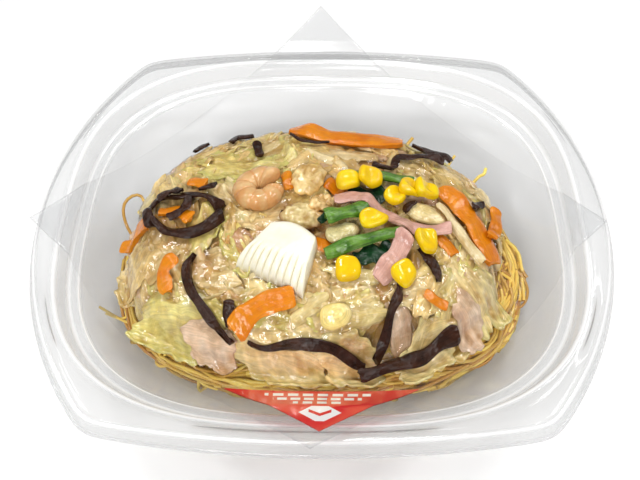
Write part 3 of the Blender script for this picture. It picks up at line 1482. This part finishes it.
        def coated(x: Array, y: Array) -> Array:
            edge = unit(heap_out(x, y) - 0.90)
            return LAYERS.rest(x, y, 0.7, 0.0) + 0.25 + 0.15 * ripples(x, y, 4, 9) - 7 * edge

        self._sauce("sauce_glaze", 2, coated, finish, 400, 220)


# ---------------------------------------------------------------- toppings


@dataclass(frozen=True)
class Strip:
    """A flat strip laid along a line: carrot, ham, wood ear or green, in mm."""

    name: str
    line: tuple[Point, ...]
    width: float
    thickness: float
    finish: Finishes
    waver: float = 0.0
    roll: float = 0.0
    taper: float = 0.75
    crown: float = 0.2
    ends: float = 3.0
    lift: float = 0.0
    extra: bool = False


@dataclass(frozen=True)
class Lump:
    """A rounded lump: a kernel, a clam or a bud, in mm and degrees."""

    name: str
    at: Point
    heading: float
    finish: Finishes
    size: Place
    dent: float = 0.0
    folds: float = 0.0
    frill: float = 0.0
    wedge: float = 0.2
    boxy: float = 2.2
    tint: Colour = PLAIN
    tip: Colour = PLAIN
    rim: Colour = PLAIN
    extra: bool = False


CARROT, EAR, HAM = Finishes.CARROT, Finishes.WOOD_EAR, Finishes.HAM
STEM, GREEN, SLICE = Finishes.GREEN_STEM, Finishes.GREEN_LEAF, Finishes.CABBAGE
CORN, CLAM = Finishes.CORN, Finishes.CLAM


def carrot_peek(number: int, width: float, *line: Point, thickness: float = 1.6, waver: float = 0.0) -> Strip:
    """A slip of carrot that shows between the leaves."""
    return Strip(f"carrot_peek_{number}", line, width, thickness, CARROT, waver=waver, lift=-1.4, extra=True)


def ear_bit(number: int, width: float, *line: Point, thickness: float = 1.2, taper: float = 0.75) -> Strip:
    """A small bit of wood ear among the leaves."""
    return Strip(f"wood_ear_bit_{number}", line, width, thickness, EAR, taper=taper, extra=True)


def kernel(number: int, x: float, y: float, heading: float, dent: float, boxy: float, **more: object) -> Lump:
    """One sweetcorn kernel."""
    shape = {"size": (8.8, 7.6, 5.6), "dent": dent, "boxy": boxy, **more}
    return Lump(f"corn_{number}", (x, y), heading, CORN, **shape)


UNDER = (
    Strip("carrot_back", ((-12, 33), (2, 30), (16, 29), (31, 27)), 8, 2.0, CARROT, roll=0.6),
    Strip("carrot_left", ((-76, -8), (-69, -10), (-61, -12)), 6, 2.0, CARROT),
    Strip("carrot_loop", ((-58, -9), (-52, -9), (-46, -13)), 5.5, 1.8, CARROT, waver=0.3),
    Strip("carrot_under", ((-50, -29), (-54, -34), (-52, -41)), 5, 1.8, CARROT, waver=0.3),
    Strip("carrot_bit", ((-49, 6), (-46, 5), (-42, 3)), 4.5, 1.8, CARROT),
    carrot_peek(1, 6, (2, 2), (6, 0), (11, -3)),
    carrot_peek(2, 4, (-13, 7), (-12, 3), (-11, -1)),
    carrot_peek(3, 5, (-4, -24), (1, -26), (6, -28), thickness=1.4, waver=0.4),
    carrot_peek(4, 3.4, (36, -42), (40, -44), (44, -45)),
    carrot_peek(5, 5, (40, -20), (44, -23), (47, -27)),
    Strip("wood_ear_back_left", ((-35, 28), (-33, 32), (-27, 34)), 3.2, 1.4, EAR),
    Strip("wood_ear_back_slip", ((-25, 26), (-24, 22), (-23, 18)), 3.4, 1.4, EAR),
    ear_bit(1, 3.0, (-50, 27), (-48, 30), (-45, 33), taper=0.4),
    ear_bit(2, 4, (-30, -47), (-30, -51), (-29, -54), taper=0.6),
    ear_bit(3, 3, (-14, -13), (-12, -13), (-10, -11)),
    ear_bit(4, 1.5, (-12, 28), (-8, 25), (-2, 24), (3, 25), thickness=1.0, taper=0.4),
)

OVER = (
    Strip("carrot_right", ((44, 1), (50, -6), (56, -16), (62, -26)), 7.8, 2.4, CARROT, roll=0.5),
    Strip("carrot_front", ((-8, -46), (-16, -48), (-22, -51), (-28, -57)), 8, 2.4, CARROT, roll=0.4),
    Strip("carrot_edge", ((61, -18), (64, -9), (65, 0)), 4.5, 2.0, CARROT, waver=0.2),
    Strip("onion_strip", ((42, -9), (46, -14), (51, -22), (57, -29)), 3.6, 1.6, SLICE, crown=0.8, extra=True),
    Strip("green_leaf_back", ((10, -4), (18, -3), (25, -3)), 7.0, 1.1, GREEN, waver=0.9, taper=0.5),
    Strip("green_leaf_front", ((12, -32), (19, -30), (25, -27)), 6.6, 1.1, GREEN, waver=0.9, taper=0.5),
    Strip(
        "green_leaf_edge", ((0, -19), (5, -14), (16, -11)), 3.0, 1.0, GREEN, waver=0.3, lift=0.6, extra=True
    ),
    Strip("stem_back", ((7, 3), (20, 4), (34, 3)), 5.0, 3.0, STEM, crown=1.0, taper=0.9),
    Strip("stem_middle", ((2, -19), (9, -16), (17, -13)), 6.2, 3.2, STEM, crown=1.1, taper=0.85),
    Strip("stem_front", ((2, -32), (16, -27), (29, -22)), 5.0, 3.2, STEM, crown=1.1, taper=0.9),
    Strip(
        "ham_arch", ((5, -9), (12, -8), (21, -12), (29, -18), (37, -20), (46, -19)), 5.0, 1.4, HAM, waver=0.3,
        roll=0.7,
    ),
    Strip("ham_slip", ((30, -24), (26, -32), (20, -40)), 6.4, 1.4, HAM, roll=0.8, crown=0.5),
    Strip(
        "wood_ear_loop_back", ((-60, -16), (-63, -7), (-59, -1), (-50, -2), (-41, -4), (-35, -11)), 3.9, 1.5,
        EAR, waver=0.5, roll=1.2, crown=0.6,
    ),
    Strip(
        "wood_ear_loop_front", ((-60, -14), (-52, -19), (-44, -19), (-34, -14)), 4.6, 1.5, EAR, waver=0.4,
        roll=1.2, taper=0.4, crown=0.7,
    ),
    Strip("wood_ear_cross", ((-47, -5), (-49, -10), (-54, -14)), 3.2, 1.3, EAR, waver=0.3, extra=True),
    Strip(
        "wood_ear_upper", ((-59, -5), (-56, -1), (-50, 0)), 3.6, 1.3, EAR, waver=0.3, taper=0.5, extra=True
    ),
    Strip("wood_ear_hook", ((-44, -2), (-41, 0), (-38, 3)), 2.4, 1.2, EAR, taper=0.3, extra=True),
    Strip("wood_ear_crescent", ((30, -14), (31, -11), (34, -9)), 3.0, 1.3, EAR, taper=0.5, extra=True),
    Strip(
        "wood_ear_left", ((-44, -28), (-46, -34), (-43, -43), (-36, -52), (-29, -60)), 3.2, 1.6, EAR,
        waver=0.5, roll=1.0, crown=-0.4, taper=0.3,
    ),
    Strip(
        "wood_ear_front", ((-23, -60), (-13, -60), (1, -60), (16, -62)), 3.6, 1.5, EAR, waver=0.5, roll=0.9,
        crown=-0.3, taper=0.35,
    ),
    Strip(
        "wood_ear_middle", ((28, -41), (25, -49), (20, -61)), 3.3, 1.6, EAR, waver=0.4, roll=0.9, crown=0.3,
        taper=0.5,
    ),
    Strip(
        "wood_ear_right", ((14, -66), (25, -62), (37, -57), (48, -51)), 4.8, 1.6, EAR, waver=0.7, roll=1.2,
        taper=0.6, crown=0.6,
    ),
    Strip("wood_ear_small", ((35, -28), (39, -33), (41, -39)), 3.2, 1.5, EAR, roll=0.7, taper=0.5),
    Strip(
        "wood_ear_zigzag", ((19, 11), (26, 9), (29, 16), (37, 17), (46, 15)), 3.2, 1.4, EAR, waver=0.3,
        roll=0.5, lift=0.6,
    ),
    Strip("wood_ear_back", ((35, 26), (43, 22), (49, 17)), 3.2, 1.4, EAR, roll=0.5, lift=0.5),
    Strip("wood_ear_tip", ((55, -8), (57, -4), (60, 0)), 3.4, 1.0, EAR, taper=0.25, lift=0.3),
)

GREENISH, CREAM, WARM, MEATY = (0.98, 1.04, 0.66), (1.08, 1.05, 0.92), (1.0, 0.92, 0.74), (1.06, 1.0, 0.95)


def wide_leaf(name: str, *places: float, tint: Colour, green: float, **more: object) -> tuple:
    """One row of the table of leaves, cut finer than the heap's own."""
    return name, Leaf(*places, cells=(44, 30), **more), tint, green


def sliced(name: str, *places: float, seed: float) -> tuple:
    """One row of the table of pork slices."""
    form = {"thickness": 1.5, "relief": 0.3, "rib": 0.0, "arch": 1.0, "frill": 1.6, "crumple": 0.8}
    return name, Leaf(*places, seed=seed, vein_gap=3.0, **form), MEATY, 0.0


LEAVES = (
    wide_leaf(
        "cabbage_left_front", -47, -49, -20, 35, 18, seed=1.0, rib=1.2, arch=1.8, tint=GREENISH, green=0.3
    ),
    wide_leaf("cabbage_front", -13, -60, -10, 29, 15, seed=2.0, rib=1.0, arch=1.2, tint=CREAM, green=0.5),
    wide_leaf("cabbage_left", -59, -24, 62, 25, 20, seed=3.2, rib=0.4, arch=2.0, tint=WARM, green=0.0),
    wide_leaf("cabbage_back_left", -30, 15, 2, 36, 18, seed=4.1, rib=1.4, arch=1.4, tint=GREENISH, green=0.8),
    wide_leaf("cabbage_right", 52, -35, -40, 31, 19, seed=5.3, rib=0.8, arch=1.6, tint=CREAM, green=0.7),
    wide_leaf("cabbage_right_front", 38, -56, 28, 24, 13, seed=6.4, rib=0.6, arch=1.0, tint=CREAM, green=0.4),
    wide_leaf("cabbage_middle", 4, -49, 20, 27, 17, seed=7.7, rib=1.0, arch=0.9, tint=CREAM, green=0.2),
    wide_leaf("cabbage_back_right", 40, 12, -14, 25, 14, seed=8.2, rib=0.6, arch=0.8, tint=WARM, green=0.2),
    wide_leaf(
        "cabbage_fold", 11, -61, 8, 22, 13, seed=9.5, rib=0.8, arch=1.2, extra=True, tint=CREAM, green=0.5
    ),
)
MEAT = (
    sliced("pork_left", -37, -56, -20, 19, 10, seed=9.0),
    sliced("pork_right", 52, -46, -42, 15, 11, seed=10.0),
)

KERNEL_TIP = (1.0, 1.12, 2.6)
CLAM_FORM = {"wedge": 0.1, "boxy": 2.0}
LOWER_LUMPS = (
    Lump(
        "clam_back", (-4, 3), 66, CLAM, (15, 11, 6.5), dent=0.5, folds=0.35, frill=0.4,
        tint=(1.05, 1.05, 0.95), tip=(1.2, 1.1, 0.25), rim=(1.15, 1.0, 0.7), **CLAM_FORM,
    ),
    Lump(
        "clam_middle", (-6, -15), 10, CLAM, (14, 10, 5.5), dent=0.2, folds=1.0, frill=0.7,
        tint=(0.92, 0.98, 0.92), tip=(1.1, 0.95, 0.8), rim=(0.55, 0.42, 0.38), **CLAM_FORM,
    ),
    Lump(
        "clam_fold", (1, -9), 40, CLAM, (10, 7, 4.0), dent=0.2, folds=1.4, frill=0.5, tint=(1.1, 1.05, 0.95),
        tip=(1.1, 1.0, 0.9), rim=(1.0, 0.8, 0.6), extra=True, **CLAM_FORM,
    ),
    Lump(
        "onion_lump_1", (8, -22), 15, SLICE, (12, 8, 4.2), folds=0.5, tint=(0.92, 1.02, 0.95),
        tip=(1.1, 1.1, 1.1), extra=True,
    ),
    Lump(
        "onion_lump_2", (38, -12), -20, SLICE, (15, 8.5, 4.5), folds=0.4, tint=(1.02, 1.04, 0.95),
        tip=(1.1, 1.05, 1.0), extra=True,
    ),
)
UPPER_LUMPS = (
    Lump(
        "cabbage_bud", (6, -52), 18, SLICE, (11, 8, 4), folds=0.2, tint=(1.15, 1.14, 0.72),
        tip=(1.1, 1.1, 0.9),
    ),
    kernel(1, 10, -1, 10, 0.2, 2.6, tip=KERNEL_TIP),
    kernel(2, 18, 0.5, 0, 0.25, 2.5, tint=(1.0, 0.96, 0.9)),
    kernel(3, 27, -6, 60, 0.15, 2.4),
    kernel(4, 32, -3, 80, 0.2, 2.6, tint=(1.0, 0.96, 0.8)),
    kernel(5, 38, -4, 0, 0.25, 3.0, tip=KERNEL_TIP),
    kernel(6, 19, -19, 20, 0.3, 2.3, size=(10.4, 7.8, 5.2), wedge=0.3),
    kernel(7, 37, -26, -80, 0.2, 3.0),
    kernel(8, 10, -37, 0, 0.1, 2.5, tint=(1.0, 0.97, 0.9)),
    kernel(9, 29, -38, 45, 0.15, 2.8),
)


@dataclass
class Toppings:
    """Everything that lies on the heap as a piece of its own, laid from the lowest up."""

    materials: dict[str, Material]

    def _finish(self, piece: Piece, finish: Finishes, name: str, extra: bool = False) -> None:
        """Counts a topping as laid and hands it over. An extra stands for no solid."""
        LAYERS.lay(piece)
        slot = finish.value.name
        Bench.hand_over(piece, slot, self.materials[slot], *([] if extra else [name]))

    def strip(self, r: Strip) -> None:
        """Lays a strip along its line, rounded at its edges and ends."""
        steps, across = max(18, 22 * (len(r.line) - 1)), 10
        line, heading = smooth_line(r.line, steps)
        side = np.column_stack([-heading[:, 1], heading[:, 0]])
        low, middle, high = (
            eased(LAYERS.rest(*(line + side * offset * r.width).T, sag=1.6, spread=0.8), 14)
            for offset in (-0.42, 0.0, 0.42)
        )
        middle = np.maximum(middle, (low + high) / 2)
        slope = np.clip((high - low) / 2, -r.width * 0.25, r.width * 0.25)
        piece = Bench.grid(r.name + "_piece", steps, across)
        s, t, _ = Bench.points(piece)
        along = np.clip(((s + 1) / 2 * steps).round().astype(int), 0, steps)
        share = along / steps
        span = np.minimum(share, 1 - share) * steps
        ease = 1 - (1 - r.taper) * unit(1 - span / (steps / 4 if r.taper < 0.6 else r.ends)) ** 1.4
        phase = len(r.name) + r.line[0][0]
        half = r.width / 2 * ease * (1 + (0.06 + 0.22 * r.waver) * np.sin(share * 11 + phase))
        place = line[along] + side[along] * (t * half + r.waver * 0.5 * np.sin(share * 13 + phase))[:, None]
        lift = r.thickness + r.lift + slope[along] * t + r.crown * (1 - t * t)
        lift = lift + r.roll * np.sin(share * 5.5 + phase) * t + 0.3 * r.roll
        flutter = 0.5 * np.sin(share * 19 + phase) * t + 0.35 * np.cos(share * 15 + 2 * t + phase)
        lift = lift + r.waver * flutter + 0.12 * r.crown * np.sin(7 * t + 2 * np.sin(share * 9))
        lift = lift - 0.25 * r.thickness * np.abs(t) ** 5
        Bench.place(piece, place, middle[along] + lift)
        Bench.thicken(piece, r.thickness)
        width, angle = min(r.thickness * 0.3, 0.8) * MM, math.radians(50)
        Bench.modify(piece, "BEVEL", width=width, segments=3, angle_limit=angle)
        self._finish(piece, r.finish, r.name, r.extra)

    def lump(self, r: Lump) -> None:
        """Sets down a rounded lump, its underside pressed flat."""
        piece = Bench.ball(r.name + "_piece", 56, 30)
        x, y, z = Bench.points(piece)
        boxed = (np.abs(x) ** r.boxy + np.abs(y) ** r.boxy + np.abs(z) ** r.boxy) ** (1 / r.boxy)
        x, y, z = x / boxed, y / boxed, z / boxed
        turn = np.arctan2(y, x)
        waist = np.exp(-((z / 0.35) ** 2))
        skirt = r.frill * waist * (0.5 + 0.5 * np.sin(11 * turn + 2 * np.sin(3 * turn)))
        hollow = r.dent * unit(z) * np.exp(-3.5 * (x * x + y * y))
        creases = np.sin(8 * y + 3 * x) + 0.6 * np.sin(13 * x - 5 * y + 1)
        creases = r.folds * creases * unit(z + 0.2) * 0.09
        length, width, height = r.size
        lx = x * length / 2 * (1 + 0.3 * skirt)
        ly = y * width / 2 * (1 - r.wedge * x) * (1 + creases + 0.3 * skirt)
        lz = np.where(z < 0, z * 0.4, z - hollow + creases) * height * 0.6
        lz = lz + r.frill * waist * np.sin(11 * turn + 1) * 0.7
        px, py = turned(lx, ly, r.at, r.heading)
        ground = LAYERS.rest(px, py, min(width, 8) * 0.5, 0.5)
        level = float(ground.mean())
        pz = lz + height * 0.22 + level + np.clip(ground - level, -1.6, 1.6)
        Bench.place(piece, px, py, pz)
        toward = unit((x - 0.45) * 2.2)[:, None]
        border = (r.frill > 0) * unit(waist * 1.2 - 0.15)[:, None]
        rows = np.array([r.tint]) * (1 - toward) + np.array([r.tip]) * toward
        Bench.tint(piece, rows * (1 - border) + np.array([r.rim]) * border)
        self._finish(piece, r.finish, r.name, r.extra)

    def squid(self) -> None:
        """The white squid piece: a plump block whose front is cut into fingers that curl down."""
        at, heading, fingers = (-12.4, -30.4), -27.0, 10
        back_width, front_width, depth, thick = 18.0, 27.0, 20.5, 7.4
        piece = Bench.grid("squid_piece", fingers * 14, 54)
        s, t, _ = Bench.points(piece)
        back = (t + 1) / 2
        cell = np.mod((s + 1) / 2 * fingers, 1) - 0.5
        which = np.floor((s + 1) / 2 * fingers - 1e-6)
        cut = unit((0.42 + 0.05 * np.sin(which * 2.1) - back) * 7.0)
        groove = cut * unit((np.abs(cell) - 0.38) / 0.12) ** 1.4
        ridge = cut * (1 - (2 * cell) ** 2) * 0.5
        half = (front_width + (back_width - front_width) * back) / 2
        corner = np.sqrt(unit(1 - unit((back - 0.80) / 0.20) ** 2.5 * 0.55))
        x = s * half * np.where(np.abs(s) > 0.5, corner, lerp(1, corner, np.abs(s) * 2))
        ragged = (0.6 * np.sin(which * 2.4) + 0.4 * np.sin(which * 5.1)) * unit(0.45 - back)
        y = (back - 0.5) * depth + 1.2 * (1 - s * s) * back - ragged
        fall = unit((0.46 - back) / 0.46)
        drop = 1 - np.sqrt(unit(1 - fall**2.2))
        rear = 1 - np.sqrt(unit(1 - unit((back - 0.82) / 0.18) ** 2.2))
        sides = 1 - np.sqrt(unit(1 - unit((np.abs(s) - 0.86) / 0.14) ** 2.4))
        round_off = np.maximum(np.maximum(drop, rear * 0.8), sides * 0.75)
        z = thick * (1 - round_off) + ridge - groove * (1.9 + 1.6 * fall)
        z = z + 0.5 * (1 - s * s) - 1.4 * (s - 0.1) ** 2
        px, py = turned(x, y, at, heading)
        ground = LAYERS.rest(px, py, 6.0, 0.0)
        level = float(ground.mean())
        pz = level - 1.2 + 0.7 * (ground - level) + z
        rim = np.maximum(np.abs(s), np.abs(t)) > 0.999
        pz = np.where(rim, ground - 1.0, pz)
        Bench.place(piece, px, py, pz)
        Bench.thicken(piece, 0.9)
        self._finish(piece, Finishes.SQUID, "squid")

    def shrimp(self) -> None:
        """The peeled shrimp, curled into an almost closed ring, its segments marked and its back tinted."""
        at, heading, sections, sides = (-22.0, -2.0), 28.0, 170, 34
        ring, thick, tail = 5.4, 5.0, 3.9
        piece = Bench.grid("shrimp_piece", sections, sides)
        s, t, _ = Bench.points(piece)
        share, around = (s + 1) / 2, (t + 1) / 2 * TAU
        joint = np.abs(np.sin(share * math.pi * 7.5 + 0.25 * np.cos(around)))
        cap = np.sqrt(unit(1 - unit(1 - share / 0.07) ** 2))
        cap = cap * np.sqrt(unit(1 - unit((share - 0.94) / 0.06) ** 2))
        radius = (thick + (tail - thick) * share) * (0.90 + 0.12 * joint**0.4) * cap
        turn = math.radians(338) * share + math.radians(heading)
        reach = ring + radius * np.cos(around) * 0.98
        x, y = at[0] + reach * np.cos(turn), at[1] + reach * np.sin(turn)
        seat = float(LAYERS.rest(np.array([at[0]]), np.array([at[1]]), 6.0, 0.0)[0])
        ground = LAYERS.rest(x, y, 5.0, 0.0)
        z = seat + np.clip(ground - seat, -2.5, 2.5) + thick * 0.42 + radius * np.sin(around) * 0.92
        Bench.place(piece, x, y, z)
        back = unit(np.cos(around) * 0.6 + 0.4)
        band = unit(1 - joint**0.5 * 1.1)
        rosy = unit(0.15 + back * 0.55 * (0.5 + 0.5 * np.sin(share * 47)) + 0.6 * band)[:, None]
        Bench.tint(piece, (1 - rosy) * np.array([[1.04, 1.06, 1.10]]) + rosy * np.array([[1.02, 0.70, 0.46]]))
        Bench.mend(piece)
        self._finish(piece, Finishes.SHRIMP, "shrimp")

    def build(self) -> None:
        """Lays the leaves, slices, strips, seafood and kernels."""
        for table, finish in ((LEAVES, Finishes.CABBAGE), (MEAT, Finishes.PORK)):
            for name, leaf, tint, green in table:
                self._finish(LeafMaker.make(name + "_piece", leaf, tint, green), finish, name, leaf.extra)
        VegetableHeap().glaze(self.materials["sauce_glaze"])
        for strip in UNDER:
            self.strip(strip)
        for lump in LOWER_LUMPS:
            self.lump(lump)
        for strip in OVER:
            self.strip(strip)
        self.shrimp()
        self.squid()
        for lump in UPPER_LUMPS:
            self.lump(lump)


# ---------------------------------------------------------------- studio


@dataclass
class Studio:
    """Pale floor, soft light and the camera, in metres, millimetres and degrees."""

    aim: ClassVar[Place] = (0, 0, 0.02)
    lens: float = 52.84
    place: Place = (0.00652, -0.22247, 0.31246)
    pitch: float = 52.444
    yaw: float = 1.818
    roll: float = -1.1035

    @staticmethod
    def floor() -> None:
        """A plain pale floor, much larger than the tray."""
        Bench.clear()
        bpy.ops.mesh.primitive_plane_add(size=6, location=(0, 0, -0.0002))
        made = Bench.named("floor")
        paint, tree, shader = new_material("pale_floor")
        feed(tree, shader, Base_Color=(0.95, 0.95, 0.95), Roughness=0.8)
        made.data.materials.append(paint)

    @staticmethod
    def light(name: str, place: Place, size: float, power: float) -> None:
        """One soft square light that faces the dish.

        Args:
            name: Its name.
            place: Where it hangs, in metres.
            size: Its side, in metres.
            power: Its power, in watts.
        """
        lamp = bpy.data.lights.new(name, "AREA")
        lamp.shape = "SQUARE"
        lamp.size = size
        lamp.energy = power
        made = bpy.data.objects.new(name, lamp)
        made.location = place
        made.rotation_euler = (Vector(Studio.aim) - Vector(place)).to_track_quat("-Z", "Y").to_euler()
        bpy.context.scene.collection.objects.link(made)

    def camera(self) -> None:
        """The camera, looking down on the dish from the eater's side."""
        data = bpy.data.cameras.new("camera")
        data.lens = self.lens
        data.sensor_width = 36
        made = bpy.data.objects.new("camera", data)
        turn = Matrix.Rotation(math.radians(self.yaw), 4, "Z")
        turn = turn @ Matrix.Rotation(math.radians(90 - self.pitch), 4, "X")
        turn = turn @ Matrix.Rotation(math.radians(self.roll), 4, "Z")
        made.matrix_world = Matrix.Translation(Vector(self.place)) @ turn
        bpy.context.scene.collection.objects.link(made)
        bpy.context.scene.camera = made

    def build(self) -> None:
        """Sets up floor, lights, surroundings and camera."""
        self.floor()
        self.light("overhead", (0.06, 0.10, 0.68), 0.16, 1.2)
        self.light("upper_right", (0.42, 0.02, 0.50), 0.15, 0.95)
        self.light("upper_left", (-0.40, 0.04, 0.50), 0.13, 0.75)
        self.light("front_fill", (-0.10, -0.50, 0.44), 0.17, 1.85)
        for index, turn in enumerate((60, 150, 220, 330)):
            angle = math.radians(turn)
            place = (0.36 * math.cos(angle), 0.36 * math.sin(angle), 0.54)
            self.light(f"sparkle_{index + 1}", place, 0.06, 0.22)
        world = bpy.data.worlds.new("studio")
        bpy.context.scene.world = world
        world.use_nodes = True
        feed(world.node_tree, world.node_tree.nodes["Background"], Color=PLAIN, Strength=0.28)
        bpy.context.scene.view_settings.view_transform = "Standard"
        self.camera()


def main() -> None:
    """Builds the dish from the tray up, then the studio round it."""
    logging.basicConfig(level=logging.INFO, format="%(name)s %(message)s")
    materials = {finish.value.name: finish.value.material() for finish in Finishes}
    glaze = ClearPlastic(
        "sauce_glaze", (0.58, 0.38, 0.13), body=0.08, edge=0.26, gloss=3.8, crease=0.0, roughness=0.07,
        wave=300, swell=0.0006, strength=0.9,
    )
    materials["sauce_glaze"] = glaze.material()
    Studio().build()
    clear = ClearPlastic("clear_tray", (0.42, 0.43, 0.43), body=0.10, edge=0.38, gloss=2.0, crease=0.55)
    Tray().build(clear.material())
    NoodleNest().build(materials["fried_noodle"])
    Film().build(FilmInk(PrintedFilm()).material())
    VegetableHeap().build(materials)
    Toppings(materials).build()
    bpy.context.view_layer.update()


if __name__ == "__main__":
    main()
